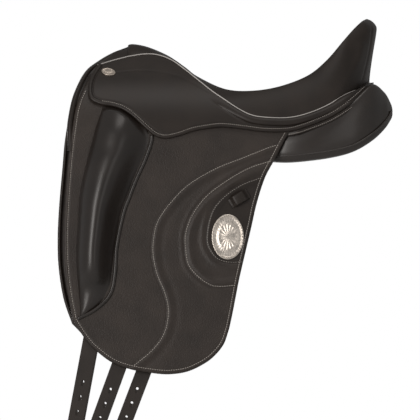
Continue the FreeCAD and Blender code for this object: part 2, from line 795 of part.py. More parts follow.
def make_panels():
    front = beside(graded(front_upper)[3:] + graded(front_lower[:2]), 14)
    lower = graded(((-290, -112), (-240, -150), (-170, -150), (-100, -110), (-40, -40), (10, -4)))
    face = outline(front, lower, [graded(((15, 44),))[0]],
                   beside(graded(welt_line[4:10]), -52)[::-1])
    wide = sheet(face, panel_out, panel_in)
    gullet = Part.makeBox(3 * half_room, 2 * gullet_half_width, 3 * half_room,
                          V(-1.5 * half_room, -gullet_half_width, -1.5 * half_room))
    wide = wide.cut(gullet)
    whole = wide.fuse(panel_rear())
    save_pair("panel", whole)


make_seat()
make_skirts()
make_pommel_cap()
make_nails()
make_tree()
make_bars()
make_webs()
make_flaps()
make_billets()
make_sweat_flaps()
make_panels()
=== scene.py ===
import math

import bmesh
import bpy
import numpy as np
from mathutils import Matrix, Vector


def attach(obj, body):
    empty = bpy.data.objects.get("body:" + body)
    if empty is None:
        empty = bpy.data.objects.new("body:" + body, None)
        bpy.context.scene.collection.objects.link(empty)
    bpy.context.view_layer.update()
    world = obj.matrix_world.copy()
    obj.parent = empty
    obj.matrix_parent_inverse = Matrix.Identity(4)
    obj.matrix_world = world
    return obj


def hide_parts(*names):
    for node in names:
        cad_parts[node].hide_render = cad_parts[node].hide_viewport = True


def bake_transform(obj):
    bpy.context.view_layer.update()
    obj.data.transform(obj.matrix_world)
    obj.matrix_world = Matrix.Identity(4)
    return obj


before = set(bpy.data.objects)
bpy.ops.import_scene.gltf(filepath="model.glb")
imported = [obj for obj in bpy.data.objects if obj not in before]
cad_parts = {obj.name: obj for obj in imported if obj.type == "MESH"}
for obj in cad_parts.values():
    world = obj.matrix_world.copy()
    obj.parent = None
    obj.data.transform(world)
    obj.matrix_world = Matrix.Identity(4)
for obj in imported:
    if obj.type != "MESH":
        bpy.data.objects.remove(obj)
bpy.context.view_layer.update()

# English dressage saddle. Lengths in the tables are millimetres and meshes are metres. +X runs from
# the pommel to the cantle, +Z is up, the near side is -Y. Side patterns are (x, z) points that lie
# on one arch, whose outer surface is height 0, and a height is measured outwards from it.

MM = 0.001
SIDES = (("left", -1), ("right", 1))

# Arch of the saddle in cross section, as in the model's tree
CROWN_RADIUS = 62.0
CROWN_Z = 136.0
SLOPE = math.radians(45)
SHOULDER = 55.0
SIDE_RADIUS = 170.0
LEAN = math.radians(6)
P1 = (CROWN_RADIUS * math.sin(SLOPE), CROWN_Z + CROWN_RADIUS * math.cos(SLOPE))
P2 = (P1[0] + SHOULDER * math.cos(SLOPE), P1[1] - SHOULDER * math.sin(SLOPE))
SIDE_C = (P2[0] - SIDE_RADIUS * math.sin(SLOPE), P2[1] - SIDE_RADIUS * math.cos(SLOPE))
P3 = (SIDE_C[0] + SIDE_RADIUS * math.cos(LEAN), SIDE_C[1] + SIDE_RADIUS * math.sin(LEAN))

# The saddle narrows in plan behind TAPER_X, and closes at TAIL_X
TAPER_X = 140.0
TAIL_X = 213.0

# Layers, as heights of their outer face below the skirt
SKIRT_T = 2.6
FLAP_H = -4.5
FLAP_T = 4.0
SWEAT_H = -26.3
SWEAT_T = 3.0
PANEL_H = -29.8
PANEL_T = 22.0

# Patterns
SKIRT_CREASE = ((-224, 150), (-190, 153), (-160, 152), (-124, 145), (-95, 132), (-70, 117),
                (-40, 98))
WELT = ((-256, 162), (-231, 170), (-204, 177), (-177, 181), (-154.5, 179.5), (-132, 171),
        (-109.5, 155), (-87, 137), (-64.5, 119), (-42, 103.5), (-19.5, 88.6), (3, 77.8),
        (30, 73.8), (66, 73.8), (97.5, 81), (129, 94), (156, 110), (180, 121), (200, 131))
SKIRT_EDGE = ((-256, 162), (-267, 144), (-271.5, 124), (-268, 106), (-252, 97), (-231, 93),
              (-213, 87), (-195, 74), (-168, 49.5), (-154, 41), (-139, 39), (-118, 43.6),
              (-96, 51), (-69, 56), (-46.5, 58), (-15, 55), (21, 50.4), (52.5, 50), (75, 52.6),
              (106.5, 63), (138, 76.5), (169.5, 97), (192, 117), (204, 131))
FRONT = ((-197, 200), (-209, 193), (-231, 184), (-253.5, 171), (-276, 153), (-292, 124),
         (-302, 92), (-310, 38), (-314, -7), (-320, -79), (-322, -133), (-320, -178),
         (-312, -227), (-298, -268))
# The flap's upper edge is out of sight under the skirt
FLAP_TOP = ((-265, 151), (-252, 130), (-236, 112), (-214, 95), (-194, 84), (-140, 80), (-80, 80),
            (-20, 78), (30, 71), (72, 62))
FLAP_FRONT = ((-265, 151), (-280.5, 124), (-292, 92), (-299, 47), (-304, 2), (-307.5, -43),
              (-311, -110), (-311, -155), (-307.5, -200), (-302, -236), (-296, -266))
FLAP_BOTTOM = ((-296, -266), (-276, -296), (-258, -315), (-231, -335), (-199.5, -346.5),
               (-168, -352), (-136.5, -354.6), (-105, -350), (-78, -337.5), (-60, -324),
               (-44, -304), (-35, -279))
FLAP_REAR = ((72, 62), (57, 36), (39, 2), (23, -29), (10, -70), (1, -110), (-10.5, -160),
             (-19.5, -200), (-29, -250), (-35, -279))
SEAM_S = ((51, 31), (30, 25), (-15, 7), (-60, -11), (-105, -38), (-136.5, -70), (-157, -101),
          (-164, -133), (-164, -160), (-157, -191), (-145.5, -218), (-139, -245), (-141, -272),
          (-150, -295), (-168, -317), (-199.5, -343))
SEAM_RIM = ((38, 4), (-1.5, -9), (-37.5, -29), (-73.5, -56), (-98, -88), (-109.5, -119),
            (-110, -146), (-105, -173), (-91.5, -191), (-73.5, -205), (-55.5, -211), (-22, -209))
SEAM_INLAY = ((18, -25), (-15, -38), (-42, -56), (-62, -79), (-71, -106), (-73.5, -133),
              (-67, -151), (-55.5, -164), (-37.5, -170), (-12, -170))

# Small fittings: centre in the pattern, turn, and half sizes
KEEPER_AT = (-18.0, -62.0)
KEEPER_TURN = math.radians(31)
KEEPER_T = 2.4
MEDALLION_AT = (-37.5, -126.0)
MEDALLION_HALF = (27.0, 38.0)
NAIL_AT = (-238.0, 150.0)
NAIL_HALF = (12.0, 8.5)

# Knee block: height, front x, rear x, height above the flap
BLOCK = ((100, -246, -200, 10), (84, -250, -178, 17), (70, -255, -168, 23), (54, -260, -167, 29),
         (38, -264, -167, 33), (20, -269, -171, 36), (0, -274, -180, 40), (-29, -281, -193, 43),
         (-60, -286, -205, 45), (-88, -288, -215, 45), (-142, -291, -225, 43),
         (-170, -291, -228, 40), (-188, -290, -230, 35), (-200, -289, -231, 27),
         (-209, -288, -233, 18.5), (-218, -287, -237, 14), (-230, -286, -243, 11),
         (-242, -285, -254, 8.5), (-252, -285, -267, 5.5), (-258, -285, -275, 2.5),
         (-262, -286, -281, 0.5))
CREST = 0.43
BLOCK_SEAM = ((-166, 44), (-168, 30), (-178, 2), (-192, -29), (-204, -60), (-214, -88),
              (-225, -142), (-228, -187), (-236, -222), (-260, -247), (-290, -263))

# Seat: x, rim half width, rim height, centre height
SEAT = ((-207, 20, 195.2, 197.0), (-197, 24, 196.8, 198.6), (-177, 28, 193.0, 195.2),
        (-154.5, 30, 185.0, 187.0), (-132, 34, 175.0, 175.6), (-109.5, 46, 159.4, 158.6),
        (-87, 62, 142.6, 141.0), (-42, 88, 122.0, 119.5), (3, 98, 118.9, 114.0),
        (50, 98, 126.4, 116.0), (97, 92, 144.6, 127.0), (129, 85, 170.5, 143.0),
        (156, 73, 202.0, 166.0), (174, 58, 222.5, 191.0), (187, 40, 235.0, 214.0))
RIM_TAIL = ((193, 24, 239.0), (197, 10, 240.8), (198, 0, 241))
CENTRE_TAIL = ((193.5, 0, 228.0), (196.5, 0, 238.5))
WELT_TAIL = ((172, 117.5), (185, 121.5), (194, 127), (200, 132.5), (202, 136))

# Rear of a panel: x, then outer top, outer bottom, inner bottom and inner top as (y, z)
PANEL = (
    (-40, (90, 54), (95, 2), (46, 34), (44, 58)),
    (20, (104, 50), (104, 0), (44, 34), (42, 56)),
    (62, (117, 50), (115, -2), (43, 34), (42, 54)),
    (100, (121, 60), (119, 1), (43, 36), (42, 58)),
    (140, (118, 80), (114, 7), (43, 40), (42, 72)),
    (175, (107, 104), (107, 17), (44, 46), (43, 92)),
    (205, (86, 128), (93, 35), (46, 60), (45, 116)),
    (226, (64, 116), (74, 54), (48, 74), (47, 108)),
    (237, (55, 98), (60, 70), (50, 80), (49, 94)),
    (240, (54, 88), (56, 78), (51, 81), (51, 86)),
)


# Curves

def through(points, steps):
    """Steps of a Catmull-Rom curve through all points but the first and the last."""
    t = np.linspace(0, 1, steps, endpoint=False)[:, None]
    return [0.5 * (2 * b + (c - a) * t + (2 * a - 5 * b + 4 * c - d) * t ** 2
                   + (3 * b - a - 3 * c + d) * t ** 3)
            for a, b, c, d in zip(points, points[1:], points[2:], points[3:])]


def smooth(points, count):
    """Points spread evenly along a smooth curve through the given points."""
    p = np.array(points, float)
    p = np.vstack([2 * p[0] - p[1], p, 2 * p[-1] - p[-2]])
    return spread(np.vstack(through(p, 24) + [p[-2:-1]]), count)


def spread(dense, count):
    steps = np.linalg.norm(np.diff(dense, axis=0), axis=1)
    along = np.concatenate([[0], np.cumsum(steps)])
    even = np.linspace(0, along[-1], count)
    return np.stack([np.interp(even, along, dense[:, k]) for k in range(dense.shape[1])], axis=1)


def length_of(points):
    return np.linalg.norm(np.diff(points, axis=0), axis=1).sum()


def tangents(points):
    t = np.gradient(points, axis=0)
    return t / np.maximum(np.linalg.norm(t, axis=1, keepdims=True), 1e-9)


def beside(points, distance):
    """A planar curve moved sideways, to the left of its direction."""
    t = tangents(points)
    return points + np.stack([-t[:, 1], t[:, 0]], axis=1) * distance


def signed_distance(x, z, points):
    """Distance of pattern points from a curve, positive to the left of its direction."""
    flat = np.stack([x.ravel(), z.ravel()], axis=1)
    t = tangents(points)
    out = np.empty(len(flat))
    for start in range(0, len(flat), 20000):
        part = flat[start:start + 20000]
        gap = part[:, None, :] - points[None, :, :]
        squared = (gap ** 2).sum(axis=2)
        nearest = squared.argmin(axis=1)
        rows = np.arange(len(part))
        across = gap[rows, nearest]
        turn = t[nearest, 0] * across[:, 1] - t[nearest, 1] * across[:, 0]
        out[start:start + 20000] = np.sign(turn) * np.sqrt(squared[rows, nearest])
    return out.reshape(x.shape)


def ramp(value, low, high):
    t = np.clip((value - low) / (high - low), 0, 1)
    return t * t * (3 - 2 * t)


def bump_at(distance, width, height):
    return height * np.exp(-(distance / width) ** 2)


# The arch

def arch(z):
    """Half width of the outer surface at height z, and the outward normal there."""
    z = np.asarray(z, float)
    low = P3[0] + (P3[1] - z) * math.tan(LEAN)
    arc = SIDE_C[0] + np.sqrt(np.maximum(SIDE_RADIUS ** 2 - (z - SIDE_C[1]) ** 2, 0))
    line = P2[0] - (z - P2[1]) / math.tan(SLOPE)
    crown = np.sqrt(np.maximum(CROWN_RADIUS ** 2 - (z - CROWN_Z) ** 2, 0))
    y = np.where(z < P3[1], low, np.where(z < P2[1], arc, np.where(z < P1[1], line, crown)))
    ny = np.where(z < P3[1], math.cos(LEAN),
                  np.where(z < P2[1], (arc - SIDE_C[0]) / SIDE_RADIUS,
                           np.where(z < P1[1], math.sin(SLOPE), crown / CROWN_RADIUS)))
    return y, ny, np.sqrt(np.maximum(1 - ny ** 2, 0))


def taper(x):
    t = np.clip((np.asarray(x, float) - TAPER_X) / (TAIL_X - TAPER_X), 0, 1)
    return np.sqrt(np.maximum(1 - t ** 3.2, 0))


def place(x, z, height, side):
    """Pattern points at a height on one side, as metres."""
    y, ny, nz = arch(z)
    narrow = taper(x)
    out = np.stack([x, side * (y * narrow + ny * height), z + nz * height + 0 * x], axis=-1)
    return out * MM


# Meshes

class Shape:
    """Vertices and faces that build up into one object."""

    def __init__(self):
        self.points = []
        self.faces = []
        self.kinds = []
        self.count = 0

    def add(self, points, faces, kind=0):
        self.points.append(np.asarray(points, float).reshape(-1, 3))
        self.faces += [tuple(i + self.count for i in face) for face in faces]
        self.kinds += [kind] * len(faces) if np.isscalar(kind) else list(kind)
        self.count += len(self.points[-1])

    def grid(self, grid, wrap=False, kind=0):
        n, m = grid.shape[:2]
        cols = m if wrap else m - 1
        faces = [(i * m + j, (i + 1) * m + j, (i + 1) * m + (j + 1) % m, i * m + (j + 1) % m)
                 for i in range(n - 1) for j in range(cols)]
        self.add(grid, faces, kind)

    def tube(self, path, radius, around=8, wide=1.0, normals=None):
        """Round or flattened tube along a path, in metres, with closed ends."""
        path = np.asarray(path, float)
        t = tangents(path)
        up = np.tile([0.0, 1.0, 0.0], (len(path), 1)) if normals is None else normals
        side = np.cross(t, up)
        side /= np.maximum(np.linalg.norm(side, axis=1, keepdims=True), 1e-9)
        up = np.cross(side, t)
        a = np.linspace(0, 2 * math.pi, around, endpoint=False)
        ring = (np.cos(a)[None, :, None] * side[:, None, :] * wide
                + np.sin(a)[None, :, None] * up[:, None, :]) * radius
        base = self.count
        self.grid(path[:, None, :] + ring, wrap=True)
        last = base + (len(path) - 1) * around
        self.faces.append(tuple(range(base, base + around)))
        self.faces.append(tuple(range(last + around - 1, last - 1, -1)))
        self.kinds += [0, 0]

    def build(self, name, materials, weld=1e-6):
        mesh = bpy.data.meshes.new(name)
        mesh.from_pydata(np.vstack(self.points).tolist(), [], self.faces)
        for material in materials:
            mesh.materials.append(material)
        mesh.polygons.foreach_set("material_index", self.kinds)
        mesh.polygons.foreach_set("use_smooth", [True] * len(mesh.polygons))
        tidy(mesh, weld)
        thing = bpy.data.objects.new(name, mesh)
        bpy.context.scene.collection.objects.link(thing)
        return thing


def tidy(mesh, weld):
    bm = bmesh.new()
    bm.from_mesh(mesh)
    bmesh.ops.remove_doubles(bm, verts=bm.verts, dist=weld)
    bmesh.ops.recalc_face_normals(bm, faces=bm.faces)
    bm.to_mesh(mesh)
    bm.free()


def coons(top, bottom, left, right):
    """Grid between four boundary curves: top and bottom run one way, left and right the other."""
    u = np.linspace(0, 1, len(top))[None, :, None]
    v = np.linspace(0, 1, len(left))[:, None, None]
    across = (1 - v) * top[None] + v * bottom[None]
    down = (1 - u) * left[:, None] + u * right[:, None]
    corners = ((1 - u) * (1 - v) * top[0] + u * (1 - v) * top[-1]
               + (1 - u) * v * bottom[0] + u * v * bottom[-1])
    return across + down - corners


def rim_of(grid):
    """Points once round the edge of a grid."""
    return np.concatenate([grid[0, :-1], grid[:-1, -1], grid[-1, :0:-1], grid[:0:-1, 0]])


def outward(z, side):
    """Directions square to the arch at the heights z."""
    _, ny, nz = arch(z)
    return np.stack([0 * ny, side * ny, nz], axis=1)


def leather_sheet(shape, pattern, height, thickness, side, level, kind=0):
    """Sheet with a rounded rim. pattern is a grid of (x, z), height its outer face, and level the
    plain height that its inner face is measured from."""
    x, z = pattern[..., 0], pattern[..., 1]
    front = place(x, z, height, side)
    back = place(x, z, np.zeros_like(x) + level - thickness, side)
    shape.grid(front, kind=kind)
    shape.grid(back)
    loops = [rim_of(front), rim_of(back)]
    inner = np.concatenate([front[1, :-1], front[:-1, -2], front[-2, :0:-1], front[:0:-1, 1]])
    out = loops[0] - inner
    out /= np.maximum(np.linalg.norm(out, axis=1, keepdims=True), 1e-9)
    rim = [loops[0]]
    for share in (0.2, 0.5, 0.8):
        swell = math.sin(math.pi * share) * thickness * 0.32 * MM
        rim.append(loops[0] * (1 - share) + loops[1] * share + out * swell)
    rim.append(loops[1])
    shape.grid(np.stack(rim), wrap=True)


def stitches(shape, pattern, side, height, pitch=3.9, long=2.2, thick=0.62):
    """Short raised stitches along a pattern curve. height is a number or a function of x and z."""
    count = int(length_of(pattern) / pitch)
    if count < 2:
        return
    centres = spread(pattern, count)
    t = tangents(centres)
    for (x, z), (tx, tz) in zip(centres, t):
        level = height(np.array([x]), np.array([z]))[0] if callable(height) else height
        a = np.array([x, z]) - np.array([tx, tz]) * long / 2
        b = np.array([x, z]) + np.array([tx, tz]) * long / 2
        spots = np.array([a, a * 0.75 + b * 0.25, a * 0.25 + b * 0.75, b])
        lift = np.array([-0.25, 0.2, 0.2, -0.25]) + level
        path = place(spots[:, 0], spots[:, 1], lift, side)
        shape.tube(path, thick * MM, around=5, normals=outward(spots[:, 1], side))


# Materials

def principled(name, color, roughness, metallic=0.0, specular=0.5):
    material = bpy.data.materials.new(name)
    material.use_nodes = True
    shader = material.node_tree.nodes["Principled BSDF"]
    shader.inputs["Base Color"].default_value = (*color, 1)
    shader.inputs["Roughness"].default_value = roughness
    shader.inputs["Metallic"].default_value = metallic
    shader.inputs["Specular IOR Level"].default_value = specular
    return material, material.node_tree, shader


def add_node(tree, kind, **values):
    made = tree.nodes.new(kind)
    for key, value in values.items():
        made.inputs[key].default_value = value
    return made


def two_tone(tree, source, low, high, start=0.3, stop=0.7):
    ramp_node = tree.nodes.new("ShaderNodeValToRGB")
    ramp_node.color_ramp.elements[0].position = start
    ramp_node.color_ramp.elements[1].position = stop
    ramp_node.color_ramp.elements[0].color = (*low, 1)
    ramp_node.color_ramp.elements[1].color = (*high, 1)
    tree.links.new(source, ramp_node.inputs["Fac"])
    return ramp_node.outputs["Color"]


def spread_value(tree, source, low, high):
    made = tree.nodes.new("ShaderNodeMapRange")
    made.inputs["To Min"].default_value = low
    made.inputs["To Max"].default_value = high
    tree.links.new(source, made.inputs["Value"])
    return made.outputs["Result"]


def leather(name, color, roughness, grain=0.0, cell=1.3, polish=0.0, specular=0.5):
    """Leather: mottled dye, uneven gloss, and either pebbled grain or fine pores."""
    material, tree, shader = principled(name, color, roughness, specular=specular)
    place_node = tree.nodes.new("ShaderNodeTexCoord")
    blotch = add_node(tree, "ShaderNodeTexNoise", Scale=26.0, Detail=5.0)
    pores = add_node(tree, "ShaderNodeTexNoise", Scale=900.0, Detail=3.0)
    cells = add_node(tree, "ShaderNodeTexVoronoi", Scale=1000.0 / cell)
    cells.feature = "SMOOTH_F1"
    warp = add_node(tree, "ShaderNodeTexNoise", Scale=500.0, Detail=2.0)
    for made in (blotch, pores, warp):
        tree.links.new(place_node.outputs["Object"], made.inputs["Vector"])
    shift = tree.nodes.new("ShaderNodeMix")
    shift.data_type = "RGBA"
    shift.blend_type = "ADD"
    shift.inputs["Factor"].default_value = 0.0012
    tree.links.new(place_node.outputs["Object"], shift.inputs["A"])
    tree.links.new(warp.outputs["Color"], shift.inputs["B"])
    tree.links.new(shift.outputs["Result"], cells.inputs["Vector"])
    dark = tuple(c * 0.8 for c in color)
    light = tuple(c * 1.22 for c in color)
    tree.links.new(two_tone(tree, blotch.outputs["Fac"], dark, light), shader.inputs["Base Color"])
    tree.links.new(spread_value(tree, blotch.outputs["Fac"], roughness * 0.88, roughness * 1.12),
                   shader.inputs["Roughness"])
    first = add_node(tree, "ShaderNodeBump", Strength=0.12 if grain else 0.08, Distance=0.0002)
    tree.links.new(pores.outputs["Fac"], first.inputs["Height"])
    last = first
    if grain:
        last = add_node(tree, "ShaderNodeBump", Strength=grain, Distance=0.0004)
        last.invert = True
        tree.links.new(cells.outputs["Distance"], last.inputs["Height"])
        tree.links.new(first.outputs["Normal"], last.inputs["Normal"])
    tree.links.new(last.outputs["Normal"], shader.inputs["Normal"])
    if polish:
        shader.inputs["Coat Weight"].default_value = polish
        shader.inputs["Coat Roughness"].default_value = 0.22
    return material


def metal(name, color, roughness):
    """Metal with fine brushing and a little tarnish."""
    material, tree, shader = principled(name, color, roughness, metallic=1.0)
    place_node = tree.nodes.new("ShaderNodeTexCoord")
    spots = add_node(tree, "ShaderNodeTexNoise", Scale=160.0, Detail=6.0)
    tree.links.new(place_node.outputs["Object"], spots.inputs["Vector"])
    dark = tuple(c * 0.72 for c in color)
    tree.links.new(two_tone(tree, spots.outputs["Fac"], dark, color), shader.inputs["Base Color"])
    tree.links.new(spread_value(tree, spots.outputs["Fac"], roughness * 0.8, roughness * 1.3),
                   shader.inputs["Roughness"])
    brushed = add_node(tree, "ShaderNodeBump", Strength=0.1, Distance=0.0001)
    tree.links.new(spots.outputs["Fac"], brushed.inputs["Height"])
    tree.links.new(brushed.outputs["Normal"], shader.inputs["Normal"])
    return material


def woven(name, color, rough=0.85, pitch=0.9):
    """Woven webbing or thread, with ribs in two directions and painted shade in the hollows between
    them.
    """
    material, tree, shader = principled(name, color, rough, specular=0.25)
    place_node = tree.nodes.new("ShaderNodeTexCoord")
    heights = []
    for direction in ("X", "Z"):
        wave = add_node(tree, "ShaderNodeTexWave", Scale=1000.0 / pitch / 6.3, Distortion=0.6)
        wave.bands_direction = direction
        tree.links.new(place_node.outputs["Object"], wave.inputs["Vector"])
        heights.append(wave.outputs["Fac"])
    both = tree.nodes.new("ShaderNodeMath")
    both.operation = "MULTIPLY"
    tree.links.new(heights[0], both.inputs[0])
    tree.links.new(heights[1], both.inputs[1])
    ribs = add_node(tree, "ShaderNodeBump", Strength=0.5, Distance=0.0003)
    tree.links.new(both.outputs["Value"], ribs.inputs["Height"])
    tree.links.new(ribs.outputs["Normal"], shader.inputs["Normal"])
    # Painted shade: the colour darkens where the ribs are low, standing in for shade in the hollows
    # of the weave.
    dark = tuple(c * 0.7 for c in color)
    tree.links.new(two_tone(tree, both.outputs["Value"], dark, color, 0.0, 0.6),
                   shader.inputs["Base Color"])
    return material


def timber(name):
    material, tree, shader = principled(name, (0.4, 0.25, 0.13), 0.55)
    place_node = tree.nodes.new("ShaderNodeTexCoord")
    rings = add_node(tree, "ShaderNodeTexWave", Scale=60.0, Distortion=5.0, Detail=3.0)
    rings.bands_direction = "Z"
    tree.links.new(place_node.outputs["Object"], rings.inputs["Vector"])
    color = two_tone(tree, rings.outputs["Fac"], (0.28, 0.16, 0.08), (0.48, 0.31, 0.17), 0.1, 0.9)
    tree.links.new(color, shader.inputs["Base Color"])
    return material


DARK = (0.0165, 0.0118, 0.0090)
SEAT_SKIN = leather("seat leather", DARK, 0.50, specular=0.32)
SMOOTH_SKIN = leather("smooth leather", DARK, 0.42, specular=0.34)
GRAIN_SKIN = leather("grained leather", (0.0250, 0.0184, 0.0146), 0.47, grain=0.85, cell=2.0,
                     specular=0.38)
BLOCK_SKIN = leather("knee block leather", (0.0130, 0.0094, 0.0074), 0.36, polish=0.14)
PANEL_SKIN = leather("panel leather", (0.0165, 0.0120, 0.0093), 0.34, polish=0.22)
STRAP_SKIN = leather("billet leather", (0.0200, 0.0146, 0.0115), 0.46, specular=0.38)
EDGE_SKIN = leather("edge leather", (0.0090, 0.0068, 0.0054), 0.38)
PALE_SKIN = leather("pale welt", (0.42, 0.40, 0.38), 0.45)
THREAD = woven("pale thread", (0.50, 0.46, 0.42), pitch=0.5)
WEBBING = woven("linen webbing", (0.45, 0.40, 0.30))
SILVER = metal("silver-coloured metal", (0.74, 0.68, 0.61), 0.36)
AGED = metal("aged nail", (0.50, 0.44, 0.38), 0.36)
STEEL = metal("polished steel", (0.55, 0.55, 0.56), 0.28)
WOOD = timber("laminated beech")


# Finishing calls shared by the pieces


def finish_piece(thing, body, replaced=(), blend_side=None):
    if blend_side is None:
        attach(thing, body)
    else:
        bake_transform(thing)
    if replaced:
        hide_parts(*replaced)


# Flap

FLAP_EDGE = np.vstack([smooth(FLAP_FRONT, 260), smooth(FLAP_BOTTOM, 260)[1:],
                       smooth(FLAP_REAR, 260)[::-1][1:]])
S_CURVE = smooth(SEAM_S, 320)
RIM_CURVE = smooth(SEAM_RIM, 260)
INLAY_CURVE = smooth(SEAM_INLAY, 200)


def flap_height(x, z):
    """Outer face of the flap with its seams, padded arcs, recessed inlay and dressed edge."""
    edge = np.abs(signed_distance(x, z, FLAP_EDGE))
    s = signed_distance(x, z, S_CURVE)
    rim = signed_distance(x, z, RIM_CURVE)
    inlay = signed_distance(x, z, INLAY_CURVE)
    height = FLAP_H - 1.1 * (1 - ramp(edge, 0, 2.2)) + bump_at(edge - 3.2, 2.0, 0.35)
    height = height - bump_at(edge - 5.9, 0.9, 0.45)
    height = height + 0.8 * ramp(s, -0.8, 1.2) - bump_at(s + 0.8, 0.9, 0.9)
    height = height + bump_at(s - 6.0, 5.0, 1.2) - bump_at(s - 16, 5.0, 0.4)
    height = height + bump_at(rim - 9.0, 7.0, 3.4) + bump_at(rim + 5.0, 3.5, 0.6)
    height = height - bump_at(rim + 0.4, 1.1, 1.1)
    height = height + bump_at(inlay + 7.0, 4.5, 1.3) - bump_at(inlay + 0.2, 1.2, 1.0)
    height = height + bump_at(inlay - 4.0, 2.5, 0.5) - 1.3 * ramp(inlay, 4.0, 12.0)
    return height


def make_flap(tag, side):
    pattern = coons(smooth(FLAP_TOP, 250), smooth(FLAP_BOTTOM, 250), smooth(FLAP_FRONT, 300),
                    smooth(FLAP_REAR, 300))
    x, z = pattern[..., 0], pattern[..., 1]
    height = flap_height(x, z)
    shape = Shape()
    centre_x = (x[:-1, :-1] + x[1:, 1:]) / 2
    centre_z = (z[:-1, :-1] + z[1:, 1:]) / 2
    inside = signed_distance(centre_x, centre_z, INLAY_CURVE) > 0.5
    kind = np.where(inside, 1, 0).ravel().tolist()
    leather_sheet(shape, pattern, height, FLAP_T, side, FLAP_H, kind)
    flap = shape.build("flap_leather_" + tag, [GRAIN_SKIN, SMOOTH_SKIN])
    finish_piece(flap, "flap_" + tag, ("flap_" + tag, "flap_tab_" + tag), side)

    thread = Shape()
    for run, inset in ((FLAP_EDGE[20:-14], 5.2), (S_CURVE[6:-4], 2.0), (RIM_CURVE[4:-3], 2.0)):
        stitches(thread, beside(run, inset), side, flap_height)
    stitches(thread, beside(INLAY_CURVE[4:-3], 1.9), side, flap_height, long=1.8, thick=0.42)
    sewn = thread.build("flap_stitching_" + tag, [THREAD], weld=1e-7)
    finish_piece(sewn, "flap_" + tag, (), side)


# Knee block

def make_knee_block(tag, side):
    """Bulge with its crest near the front, tucked under the skirt and flat at its foot."""
    turn = np.linspace(0, math.pi, 60)
    share = (1 - np.cos(turn)) / 2
    rise = np.sin(np.minimum(share / CREST, 1) * math.pi / 2) ** 0.56
    fall = 0.5 + 0.5 * np.cos(np.clip((share - CREST) / (1 - CREST), 0, 1) * math.pi)
    profile = rise * fall ** 0.8
    grid = []
    for level, x_front, x_rear, tall in smooth(BLOCK, 170):
        xs = x_front + (x_rear - x_front) * share
        zs = np.full_like(xs, level)
        under = ramp(signed_distance(xs, zs, SKIRT_BOTTOM), -13, 1)
        heights = tall * profile
        heights = heights * (1 - under) + np.minimum(heights, 2.2) * under
        grid.append(place(xs, zs, FLAP_H - 0.8 + heights, side))
    grid = np.array(grid)
    shape = Shape()
    shape.grid(grid)
    shape.grid(np.stack([grid[:, 0], grid[:, -1]], axis=1))
    for row in (grid[0], grid[-1]):
        shape.add(row, [tuple(range(len(row)))])
    block = shape.build("knee_block_pad_" + tag, [BLOCK_SKIN])
    finish_piece(block, "flap_" + tag, ("knee_block_" + tag,), side)

    seam = Shape()
    path = smooth(BLOCK_SEAM, 160)
    seam.tube(place(path[:, 0] + 1.5, path[:, 1], FLAP_H + 1.2, side), 2.4 * MM, 10, 1.3,
              outward(path[:, 1], side))
    piping = seam.build("knee_block_piping_" + tag, [BLOCK_SKIN])
    finish_piece(piping, "flap_" + tag, (), side)


# Keeper loop and ornament

def local_on_flap(u, v, height, centre, angle, side):
    """Small pieces: u along, v across, turned by angle, at a height above the flap."""
    c, s = math.cos(angle), math.sin(angle)
    x = centre[0] + u * c - v * s
    z = centre[1] + u * s + v * c
    return place(x, z, FLAP_H + height, side)


def make_keeper(tag, side):
    run = smooth(((-18, 0.9), (-15, 1.6), (-12, 4.5), (-9, 7.4), (-4, 8.3), (4, 8.3), (9, 7.4),
                  (12, 4.5), (15, 1.6), (18, 0.9)), 40)
    across = np.array([-8.5, -8.1, -7.2, -3, 0, 3, 7.2, 8.1, 8.5])
    drop = np.array([-1.0, -0.3, 0.0, 0.12, 0.15, 0.12, 0.0, -0.3, -1.0])
    u, v = np.meshgrid(run[:, 0], across, indexing="ij")
    level = run[:, 1][:, None]
    top = local_on_flap(u, v, level + drop[None], KEEPER_AT, KEEPER_TURN, side)
    under = local_on_flap(u, v, np.maximum(level - KEEPER_T, -0.5) + 0 * v, KEEPER_AT, KEEPER_TURN,
                          side)
    shape = Shape()
    shape.grid(np.concatenate([top, under[:, ::-1]], axis=1), wrap=True)
    for row in (0, -1):
        cap = np.concatenate([top[row], under[row, ::-1]])
        shape.add(cap, [tuple(range(len(cap)))])
    keeper = shape.build("keeper_strap_" + tag, [SMOOTH_SKIN])
    finish_piece(keeper, "flap_" + tag, ("leather_keeper_" + tag,), side)


def make_ornament(tag, side):
    """Plain oval medallion with a beaded rim and a fluted centre."""
    wide, long = MEDALLION_HALF
    shape = Shape()
    rings = ((1.0, 0.0), (1.0, 2.2), (0.985, 2.9), (0.95, 3.1), (0.90, 2.9), (0.87, 2.0),
             (0.84, 1.7), (0.62, 2.1), (0.58, 2.9), (0.55, 3.1), (0.50, 2.8), (0.30, 3.6),
             (0.10, 4.2), (0.0, 4.3))
    angles = np.linspace(0, 2 * math.pi, 96, endpoint=False)
    grid = []
    for share, height in rings:
        flute = 0.0
        if 0.2 < share < 0.56:
            flute = 0.35 * np.cos(angles * 16)
        if 0.6 < share < 0.86:
            flute = 0.25 * np.cos(angles * 32)
        u = wide * share * np.cos(angles)
        v = long * share * np.sin(angles)
        grid.append(local_on_flap(u, v, height + flute - 1.2, MEDALLION_AT, 0, side))
    shape.grid(np.array(grid), wrap=True)
    for a in np.linspace(0, 2 * math.pi, 44, endpoint=False):
        spot = np.array([[wide * 0.925 * math.cos(a)], [long * 0.925 * math.sin(a)]])
        bead(shape, local_on_flap(spot[0], spot[1], 2.2, MEDALLION_AT, 0, side)[0], 1.35 * MM)
    medallion = shape.build("flap_medallion_" + tag, [SILVER], weld=1e-7)
    finish_piece(medallion, "flap_" + tag, ("flap_ornament_" + tag,), side)


